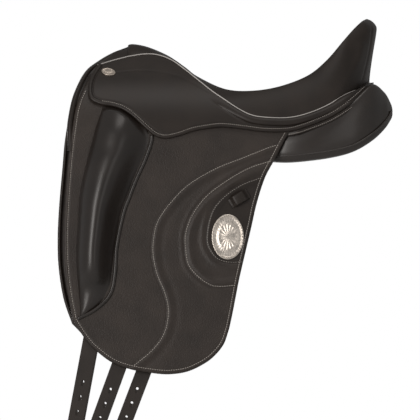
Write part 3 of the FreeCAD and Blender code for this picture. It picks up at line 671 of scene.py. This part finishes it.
def bead(shape, centre, radius):
    rings = np.linspace(0, math.pi, 7)
    around = np.linspace(0, 2 * math.pi, 8, endpoint=False)
    grid = np.array([[centre + radius * np.array([math.sin(a) * math.cos(b), math.cos(a),
                                                  math.sin(a) * math.sin(b)]) for b in around]
                     for a in rings])
    shape.grid(grid, wrap=True)


# Skirt

SKIRT_BOTTOM = smooth(SKIRT_EDGE, 420)
SKIRT_TOP = smooth(WELT, 420)
CREASE = smooth(SKIRT_CREASE, 160)


def skirt_height(x, z):
    low = np.abs(signed_distance(x, z, SKIRT_BOTTOM))
    high = np.abs(signed_distance(x, z, SKIRT_TOP))
    crease = np.abs(signed_distance(x, z, CREASE))
    waist = ramp(x, -75, 0) * (1 - ramp(x, 150, 200))
    height = np.sqrt(np.maximum(1 - ((low - 3.0) / 3.4) ** 2, 0)) * 2.4
    height = height - bump_at(low - 7.3, 1.2, 0.6) - bump_at(crease, 1.3, 0.35)
    band = np.sqrt(np.maximum(1 - ((high - 7.2) / 6.4) ** 2, 0))
    height = height + waist * (4.2 * band - bump_at(high - 14.6, 1.4, 0.7))
    return height


def make_skirt(tag, side):
    across = 70
    share = np.linspace(0, 1, across)[:, None, None]
    ease = share ** 0.9
    pattern = SKIRT_TOP[None] * (1 - ease) + SKIRT_BOTTOM[None] * ease
    x, z = pattern[..., 0], pattern[..., 1]
    height = skirt_height(x, z)
    shape = Shape()
    leather_sheet(shape, pattern, height, SKIRT_T, side, 0.0)
    skirt = shape.build("skirt_leather_" + tag, [SMOOTH_SKIN])
    finish_piece(skirt, "flap_" + tag,
                 ("skirt_" + tag, "skirt_edge_roll_" + tag), side)
    thread = Shape()
    run = SKIRT_BOTTOM[60:-10]
    stitches(thread, beside(run, 5.0), side, skirt_height, pitch=3.4, long=1.9, thick=0.45)
    sewn = thread.build("skirt_stitching_" + tag, [THREAD], weld=1e-7)
    finish_piece(sewn, "flap_" + tag, (), side)


# Seat

def seat_lines(count):
    """Welt, rim and centre lines of one half of the seat, front to back, as (x, y, z)."""
    flat = smooth(WELT[2:17] + WELT_TAIL, count)
    y, _, _ = arch(flat[:, 1])
    welt = np.stack([flat[:, 0], y * seat_taper(flat[:, 0]), flat[:, 1]], axis=1)
    welt[-1, 1] = 0.0
    rim = smooth([(x, y, z) for x, y, z, _ in SEAT] + list(RIM_TAIL), count)
    rim[-1, 1] = 0.0
    centre = smooth([(x, 0.0, z) for x, _, _, z in SEAT] + list(CENTRE_TAIL), count)
    return welt, rim, centre


def seat_taper(x):
    """Plan of the seat's welt: it closes in a round behind TAPER_X."""
    t = np.clip((np.asarray(x, float) - 120.0) / 80.0, 0, 1)
    return np.sqrt(np.maximum(1 - t ** 3.0, 0))


SPLIT_X = 165.0
SPLIT = 0.72


def match_along(lines):
    """Bring the lines into step: square to the seat's length, then evenly round the cantle."""
    steps = np.linspace(0, 1, len(lines[0]))
    x = -204 + (SPLIT_X + 204) * np.minimum(steps / SPLIT, 1)
    tail = np.maximum((steps - SPLIT) / (1 - SPLIT), 0)
    matched = []
    for line in lines:
        along = np.concatenate([[0], np.cumsum(np.linalg.norm(np.diff(line, axis=0), axis=1))])
        at_split = np.interp(SPLIT_X, line[:, 0], along)
        reach = np.interp(x, line[:, 0], along) + (along[-1] - at_split) * tail
        matched.append(np.stack([np.interp(reach, along, line[:, k]) for k in range(3)], axis=1))
    return matched, tail


OVERHANG = smooth(((0, 0), (0.02, 0.30), (0.06, 0.62), (0.12, 0.90), (0.18, 1.0), (0.33, 0.84),
                   (0.6, 0.46), (0.85, 0.14), (1, 0)), 200)
CANTLE_FOLD = ((188, 196), (183, 174), (172, 149), (157, 124))
CANTLE_SEAM = ((206, 224), (205, 210), (201, 185), (195, 158), (187, 128))
OVERHANG_DEPTH = 15.5


def seat_grid(side):
    (welt, rim, centre), tail = match_along(seat_lines(360))
    inner = np.linspace(0, 1, 28)
    outer = np.linspace(0, 1, 46)[1:]
    lean_out = np.interp(outer, OVERHANG[:, 0], OVERHANG[:, 1])
    seam = smooth(CANTLE_SEAM, 120)
    fold = smooth(CANTLE_FOLD, 120)
    rows = []
    for w, r, c, t in zip(welt, rim, centre, tail):
        top = c[None] + (r - c)[None] * np.stack([inner, inner, inner ** 2.1], axis=1)
        wall = w - r
        span = np.linalg.norm(wall)
        angle = t * math.pi / 2
        out = np.array([math.sin(angle), math.cos(angle), 0.0])
        swell = np.sin(outer * math.pi) ** 0.85 * min(7.0, span * 0.10) * 0.5 * (1 - t)
        push = swell + lean_out * OVERHANG_DEPTH * ramp(t, 0.0, 0.75)
        run = r[None] + wall[None] * np.stack([outer ** 0.9, outer ** 0.9, outer ** 1.08], axis=1)
        run = run + out[None] * push[:, None]
        groove = bump_at(np.abs(signed_distance(run[:, 0], run[:, 2], seam)), 1.6, 1.5)
        ridge = bump_at(np.abs(signed_distance(run[:, 0], run[:, 2], fold)), 7.0, 2.4)
        relief = ridge * np.sin(outer * math.pi) - groove * ramp(t, 0.1, 0.3)
        run = run + out[None] * relief[:, None]
        rows.append(np.vstack([top, run]))
    grid = np.array(rows)
    grid[..., 1] *= side
    return grid * MM, welt


def make_seat():
    shape = Shape()
    for _, side in SIDES:
        grid, _ = seat_grid(side)
        shape.grid(grid)
        front = grid[0]
        lip = front + np.array([-0.0016, 0, -0.0012])
        under = front + np.array([0.0, 0, -0.005])
        shape.grid(np.stack([front, lip, under]))
    seat = shape.build("seat_pad", [SEAT_SKIN], weld=2e-5)
    finish_piece(seat, "root", ("seat_cover", "seat_foam"))

    _, welt = seat_grid(1)
    half = welt.copy()
    front = smooth(WELT[:3], 24)
    y, _, _ = arch(front[:, 1])
    front = np.stack([front[:, 0], y, front[:, 1]], axis=1)
    line = np.vstack([front[:-1], half])
    loop = np.vstack([line[:-1], line[::-1] * [1, -1, 1]])
    loop = spread(loop, 700)
    centre = np.array([20.0, 0.0, 100.0])
    out = loop - centre
    out[:, 0] *= 0.25
    out /= np.linalg.norm(out, axis=1, keepdims=True)
    path = (loop + out * 0.5) * MM
    piping = Shape()
    piping.tube(path, 0.95 * MM, 8, 1.0, out)
    welt_tube = piping.build("seat_piping", [PALE_SKIN])
    finish_piece(welt_tube, "root", ("seat_welt_left", "seat_welt_right"))


# Front arch

FRONT_LINE = smooth(FRONT, 400)[::-1]


def front_x(z):
    """x of the front silhouette at height z."""
    return np.interp(z, FRONT_LINE[:, 1], FRONT_LINE[:, 0])


def over_the_arch(low_z, count):
    """Heights and sides of points from the near side over the crown to the far side."""
    crown = CROWN_Z + CROWN_RADIUS
    z = np.linspace(low_z, crown - 0.02, 400)
    y, _, _ = arch(z)
    half = np.stack([y, z], axis=1)
    return spread(np.vstack([half, [0.0, crown]]), count)


def make_pommel():
    """Padded facing that wraps the front of the arch, from the outside to the horse's side."""
    half = over_the_arch(18.0, 130)
    section = smooth(((46, -3.6), (26, -3.4), (10, -2.6), (3.0, -3.6), (0.4, -8), (0, -14),
                      (1.0, -21), (5, -26.5), (16, -28.6), (60, -28.0)), 44)
    grid = []
    for y0, z0 in half:
        _, ny, nz = arch(min(z0, CROWN_Z + CROWN_RADIUS))
        row = []
        tuck = 6.0 * (1 - ramp(z0, 152, 172))
        for back, height in section:
            height = min(height, -3.4 - tuck) if back > 6 else height
            if height > -13.9 - tuck:
                back = back * (1 - 0.56 * ramp(z0, 176, 192))
            zz = z0 + nz * height
            x = front_x(min(zz, 199.0)) + back + 6.0 * (1 - ramp(z0, 18, 70))
            row.append((x, y0 + ny * height, zz))
        grid.append(row)
    near = np.array(grid)
    far = near * [1, -1, 1]
    whole = np.vstack([near, far[::-1][1:]]) * MM
    shape = Shape()
    shape.grid(whole)
    facing = shape.build("pommel_facing", [SMOOTH_SKIN], weld=1e-5)
    finish_piece(facing, "root", ("pommel_cap",))


# Sweat flap and panels

def make_sweat_flap(tag, side):
    left = smooth(FRONT[5:], 150)
    bottom = smooth(((-298, -268), (-270, -292), (-220, -303), (-165, -290), (-120, -245)), 110)
    right = smooth(((15, 40), (15, 8), (-10, -40), (-45, -105), (-85, -180), (-120, -245)), 150)
    top = smooth(((-292, 124), (-262, 110), (-200, 80), (-80, 58), (15, 40)), 110)
    pattern = coons(top, bottom, left, right)
    x, z = pattern[..., 0], pattern[..., 1]
    edge = np.abs(signed_distance(x, z, np.vstack([left, bottom])))
    height = SWEAT_H - bump_at(edge - 7.5, 1.4, 0.7) + bump_at(edge - 3, 3.0, 0.6)
    shape = Shape()
    leather_sheet(shape, pattern, height, SWEAT_T, side, SWEAT_H)
    path = np.vstack([left, bottom[1:40]])
    shape.tube(place(path[:, 0] + 2.2, path[:, 1], SWEAT_H + 0.6, side), 3.0 * MM, 10, 1.0,
               outward(path[:, 1], side))
    flap = shape.build("sweat_leather_" + tag, [SMOOTH_SKIN])
    finish_piece(flap, "root", ("sweat_flap_" + tag, "point_pocket_" + tag))


def panel_section(row, count):
    """Closed, rounded section through four corners, in (y, z)."""
    corners = np.array(row, float).reshape(4, 2)
    centre = corners.mean(axis=0)
    points = []
    for k in range(4):
        a, b = corners[k], corners[(k + 1) % 4]
        mid = (a + b) / 2
        away = mid - centre
        length = np.linalg.norm(b - a)
        away = away / max(np.linalg.norm(away), 1e-6) * min(7.0, length * 0.14)
        points += [a * 0.97 + centre * 0.03, (a * 0.75 + b * 0.25) + away * 0.8, mid + away,
                   (a * 0.25 + b * 0.75) + away * 0.8]
    points.append(points[0])
    loop = np.array(points)
    loop = np.vstack([loop[-2:-1], loop, loop[1:2]])
    return spread(np.vstack(through(loop, 8)), count + 1)[:-1]


def make_panel(tag, side):
    table = np.array([[row[0]] + [c for corner in row[1:] for c in corner] for row in PANEL])
    rows = smooth(table, 130)
    around = 96
    grid = []
    for row in rows:
        section = panel_section(row[1:], around)
        x = np.full(around, row[0])
        grid.append(np.stack([x, side * section[:, 0], section[:, 1]], axis=1) * MM)
    grid = np.array(grid)
    shape = Shape()
    shape.grid(grid, wrap=True)
    for end in (0, -1):
        shape.add(grid[end], [tuple(range(around))])
    seam_rows = rows[22:-3]
    low = np.stack([seam_rows[:, 0], side * (seam_rows[:, 3] + 4.6),
                    seam_rows[:, 4] + 11.5], axis=1) * MM
    shape.tube(low, 1.6 * MM, 8, 1.0)
    inner = np.stack([seam_rows[:, 0], side * (seam_rows[:, 5] - 1.0), seam_rows[:, 6] - 1.5],
                     axis=1) * MM
    shape.tube(inner, 1.5 * MM, 8, 1.0)
    rear = shape.build("panel_rear_" + tag, [PANEL_SKIN], weld=1e-7)
    finish_piece(rear, "root", ("panel_" + tag,))

    left = smooth(((-266, 140), (-283, 100), (-296, 30), (-302, -30), (-298, -90)), 70)
    bottom = smooth(((-298, -90), (-240, -146), (-170, -146), (-100, -106), (-44, -46)), 80)
    right = smooth(((14, 44), (8, 0), (-44, -46)), 70)
    top = smooth(((-266, 140), (-190, 139), (-130, 118), (-60, 70), (14, 44)), 80)
    pattern = coons(top, bottom, left, right)
    x, z = pattern[..., 0], pattern[..., 1]
    rim = np.vstack([left, bottom[1:], right[::-1][1:], top[::-1][1:]])
    edge = np.abs(signed_distance(x, z, rim))
    depth = PANEL_T * np.sqrt(np.clip(edge / 26.0, 0, 1) * (2 - np.clip(edge / 26.0, 0, 1)))
    front = Shape()
    outer = place(x, z, PANEL_H, side)
    inner_face = place(x, z, PANEL_H - 0.4 - depth, side)
    front.grid(outer)
    front.grid(inner_face)
    front.grid(np.stack([rim_of(outer), rim_of(inner_face)]), wrap=True)
    pad = front.build("panel_front_" + tag, [PANEL_SKIN], weld=1e-7)
    finish_piece(pad, "root", ())


def make_rear_facing():
    """Stitched band under the skirt and round the back of the cantle, between skirt and panels."""
    low = smooth(SKIRT_EDGE[16:], 130)
    upper = beside(low, 2.5)
    lower = beside(low, -8.5)
    half = []
    for run in (upper, lower):
        y, _, _ = arch(run[:, 1])
        under = 4.0 + 7.5 * (1 - ramp(run[:, 0], 52, 84))
        half.append(np.stack([run[:, 0], y * taper(run[:, 0]) - under, run[:, 1]], axis=1))
    tail = []
    for line, z_end in zip(half, (134.0, 122.0)):
        x0, y0, z0 = line[-1]
        turn = np.linspace(0, 1, 30)[1:]
        x = x0 + (209 - x0) * np.sin(turn * math.pi / 2)
        y = y0 * np.cos(turn * math.pi / 2)
        z = z0 + (z_end - z0) * turn
        tail.append(np.vstack([line, np.stack([x, y, z], axis=1)]))
    shape = Shape()
    share = np.linspace(0, 1, 12)[:, None, None]
    for _, side in SIDES:
        band = tail[0][None] * (1 - share) + tail[1][None] * share
        swell = np.sin(share[..., 0] * math.pi) ** 0.5 * 2.2
        band[..., 1] = (band[..., 1] + swell) * side
        inner = band.copy()
        inner[..., 1] -= side * 3.0
        inner[..., 0] -= 1.0
        shape.grid(band * MM)
        shape.grid(inner * MM)
        for k in (0, -1):
            shape.grid(np.stack([band[k], inner[k]]) * MM)
    facing = shape.build("rear_facing", [SMOOTH_SKIN])
    finish_piece(facing, "root",
                 ("panel_facing_left", "panel_facing_right", "cantle_facing"))
    thread = Shape()
    for _, side in SIDES:
        line = tail[0] * 0.28 + tail[1] * 0.72
        centres = spread(line, int(length_of(line) / 3.4))
        steps = tangents(centres)
        for spot, step in zip(centres, steps):
            ends = np.array([spot - step * 1.1, spot, spot + step * 1.1])
            ends[:, 1] = (ends[:, 1] + 2.1) * side
            thread.tube(ends * MM, 0.42 * MM, 5, normals=np.tile([0.0, side, 0.2], (3, 1)))
    sewn = thread.build("rear_facing_stitching", [THREAD], weld=1e-7)
    finish_piece(sewn, "root")


def make_gullet_lining():
    path = smooth(((-150, 118), (-110, 92), (-60, 66), (0, 57), (60, 55), (110, 60), (150, 78),
                   (190, 98)), 110)
    y = np.linspace(-36, 36, 31)
    grid = np.array([[(x, v, z + 2.0 - 0.0016 * v * v) for v in y] for x, z in path]) * MM
    under = grid - np.array([0, 0, 0.002])
    shape = Shape()
    shape.grid(grid)
    shape.grid(under)
    for edge in (0, -1):
        shape.grid(np.stack([grid[:, edge], under[:, edge]]))
        shape.grid(np.stack([grid[edge], under[edge]]))
    lining = shape.build("channel_lining", [SMOOTH_SKIN])
    finish_piece(lining, "root", ("gullet_lining",))


# Saddle nails

def make_nail(tag, side):
    angles = np.linspace(0, 2 * math.pi, 64, endpoint=False)
    rings = ((1.0, -0.5), (1.0, 1.4), (0.96, 2.2), (0.88, 2.5), (0.80, 2.1), (0.76, 1.9),
             (0.45, 2.5), (0.0, 2.9))
    grid = []
    for share, height in rings:
        flute = 0.12 * np.cos(angles * 12) if 0.3 < share < 0.78 else 0.0
        u = NAIL_HALF[0] * share * np.cos(angles)
        v = NAIL_HALF[1] * share * np.sin(angles)
        grid.append(place(NAIL_AT[0] + u, NAIL_AT[1] + v * math.sin(SLOPE) - u * 0.12,
                          height + flute, side))
    shape = Shape()
    shape.grid(np.array(grid), wrap=True)
    nail = shape.build("nail_head_" + tag, [AGED], weld=1e-7)
    finish_piece(nail, "root", ("saddle_nail_" + tag,))


# Billets

BILLETS = (("front", -206.0, 10.5, 540.0, 409.0, 8.5 + 0.8),
           ("middle", -84.0, 20.0, 570.0, 441.0, 12.5 + 0.8),
           ("rear", -33.0, 20.8, 570.0, 442.0, 16.5 + 0.8))


def make_billet(tag, side, name, pivot_x, slant, length, first, depth):
    """Strap with dressed edges, a pointed tip and oval holes."""
    half, thick = 12.7, 3.5
    curve = bpy.data.curves.new("strap", "CURVE")
    curve.dimensions = "2D"
    curve.fill_mode = "BOTH"
    outline = [(half * math.cos(a), half * math.sin(a)) for a in np.linspace(0, math.pi, 24)]
    outline += [(-half, 14 - length), (-half * 0.72, 5 - length), (-half * 0.3, -length),
                (half * 0.3, -length), (half * 0.72, 5 - length), (half, 14 - length)]
    loops = [outline]
    for k in range(5):
        y = -first - 25.4 * k
        hole = [(2.25 * math.cos(a), y + 2.75 + 2.25 * math.sin(a))
                for a in np.linspace(0, math.pi, 9)]
        hole += [(2.25 * math.cos(a), y - 2.75 + 2.25 * math.sin(a))
                 for a in np.linspace(math.pi, 2 * math.pi, 9)]
        loops.append(hole)
    for loop in loops:
        spline = curve.splines.new("POLY")
        spline.points.add(len(loop) - 1)
        spline.points.foreach_set("co", [c for x, y in loop for c in (x * MM, y * MM, 0, 1)])
        spline.use_cyclic_u = True
    curve.extrude = (thick / 2 - 0.5) * MM
    curve.bevel_depth = 0.5 * MM
    curve.bevel_resolution = 2
    curve.offset = -0.5 * MM
    holder = bpy.data.objects.new("strap", curve)
    mesh = bpy.data.meshes.new_from_object(holder)
    bpy.data.objects.remove(holder)
    co = np.empty(len(mesh.vertices) * 3)
    mesh.vertices.foreach_get("co", co)
    co = co.reshape(-1, 3) / MM
    angle = math.radians(slant)
    u = co[:, 0] * math.cos(angle) + co[:, 1] * math.sin(angle)
    v = -co[:, 0] * math.sin(angle) + co[:, 1] * math.cos(angle)
    level = P3[1] + (30.0 - P3[1]) / math.cos(LEAN) + v
    along = level - P3[1]
    radius = SIDE_RADIUS - depth - thick / 2 + co[:, 2]
    knee_y = SIDE_C[0] + radius * math.cos(LEAN)
    knee_z = SIDE_C[1] + radius * math.sin(LEAN)
    out = np.stack([pivot_x + u, side * (knee_y - along * math.sin(LEAN)),
                    knee_z + along * math.cos(LEAN)], axis=1) * MM
    mesh.vertices.foreach_set("co", out.ravel())
    mesh.materials.clear()
    mesh.materials.append(STRAP_SKIN)
    tidy(mesh, 1e-7)
    mesh.polygons.foreach_set("use_smooth", [False] * len(mesh.polygons))
    node = f"billet_{name}_{tag}"
    strap = bpy.data.objects.new(f"strap_{name}_{tag}", mesh)
    bpy.context.scene.collection.objects.link(strap)
    finish_piece(strap, node, (node,))


# Carried-over pieces of the tree and the bars

def dress_nodes():
    looks = {"tree_head": EDGE_SKIN, "gullet_plate": EDGE_SKIN, "tree_rivets": STEEL,
             "tree_cantle": WOOD, "long_web": WEBBING, "cross_webs": WEBBING}
    for tag, _ in SIDES:
        looks.update({"tree_rail_" + tag: WOOD, "spring_steel_" + tag: STEEL,
                      "stirrup_bar_" + tag: STEEL, "bar_catch_" + tag: STEEL,
                      "catch_pin_" + tag: STEEL, "billet_webs_" + tag: WEBBING})
    for name, material in looks.items():
        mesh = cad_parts[name].data
        if not mesh.materials:
            mesh.materials.append(material)
        for index in range(len(mesh.materials)):
            mesh.materials[index] = material


# Stage, light and camera

def make_stage():
    material = bpy.data.materials.new("pale floor")
    material.use_nodes = True
    tree = material.node_tree
    tree.nodes.clear()
    out = tree.nodes.new("ShaderNodeOutputMaterial")
    plain = tree.nodes.new("ShaderNodeBsdfDiffuse")
    plain.inputs["Color"].default_value = (0.85, 0.85, 0.85, 1)
    tree.links.new(plain.outputs["BSDF"], out.inputs["Surface"])
    mesh = bpy.data.meshes.new("floor")
    size, level = 2.2, -0.62
    mesh.from_pydata([(-size, -size, level), (size, -size, level), (size, size, level),
                      (-size, size, level)], [], [(0, 1, 2, 3)])
    mesh.materials.append(material)
    floor = bpy.data.objects.new("floor", mesh)
    bpy.context.scene.collection.objects.link(floor)


def make_world():
    world = bpy.data.worlds.new("studio")
    bpy.context.scene.world = world
    world.use_nodes = True
    tree = world.node_tree
    tree.nodes.clear()
    out = tree.nodes.new("ShaderNodeOutputWorld")
    seen = tree.nodes.new("ShaderNodeBackground")
    lit = tree.nodes.new("ShaderNodeBackground")
    seen.inputs["Color"].default_value = (1, 1, 1, 1)
    seen.inputs["Strength"].default_value = 1.0
    lit.inputs["Color"].default_value = (1, 0.99, 0.98, 1)
    lit.inputs["Strength"].default_value = 0.34
    path = tree.nodes.new("ShaderNodeLightPath")
    mix = tree.nodes.new("ShaderNodeMixShader")
    tree.links.new(path.outputs["Is Camera Ray"], mix.inputs["Fac"])
    tree.links.new(lit.outputs["Background"], mix.inputs[1])
    tree.links.new(seen.outputs["Background"], mix.inputs[2])
    tree.links.new(mix.outputs["Shader"], out.inputs["Surface"])


def lamp(name, place_at, target, size, power):
    data = bpy.data.lights.new(name, "AREA")
    data.shape = "RECTANGLE"
    data.size, data.size_y = size
    data.energy = power
    data.color = (1.0, 0.955, 0.92)
    thing = bpy.data.objects.new(name, data)
    thing.location = place_at
    thing.rotation_euler = (Vector(target) - Vector(place_at)).to_track_quat("-Z", "Y").to_euler()
    bpy.context.scene.collection.objects.link(thing)


PIXEL = 1.68 * MM
DISTANCE = 18.0


def make_camera():
    """Long lens, square to the near side, framed as the photograph: 420 pixels of 1.68 mm."""
    data = bpy.data.cameras.new("camera")
    data.sensor_width = 36.0
    data.lens = 36.0 * DISTANCE / (420 * PIXEL)
    data.clip_end = 50.0
    camera = bpy.data.objects.new("camera", data)
    camera.location = ((210 - 250) * PIXEL, -DISTANCE - 0.09, (161.5 - 210) * PIXEL)
    camera.rotation_euler = (math.radians(90), 0, 0)
    bpy.context.scene.collection.objects.link(camera)
    bpy.context.scene.camera = camera


make_camera()
for tag, side in SIDES:
    make_flap(tag, side)
    make_knee_block(tag, side)
    make_keeper(tag, side)
    make_ornament(tag, side)
    make_skirt(tag, side)
    make_sweat_flap(tag, side)
    make_panel(tag, side)
    make_nail(tag, side)
    for billet in BILLETS:
        make_billet(tag, side, *billet)
make_seat()
make_pommel()
make_rear_facing()
make_gullet_lining()
dress_nodes()
make_stage()
make_world()
lamp("key", (-2.0, -2.9, 0.25), (-0.05, -0.1, 0), (1.2, 2.6), 58)
lamp("fill", (1.9, -2.6, 0.3), (0.05, -0.1, 0), (1.6, 2.0), 7)
lamp("top", (0.1, -1.2, 2.4), (0, 0, 0.1), (1.6, 1.0), 13)
lamp("far side", (-0.9, 2.9, -0.45), (0, 0, -0.1), (1.6, 0.9), 30)
bpy.context.scene.view_settings.view_transform = "Standard"
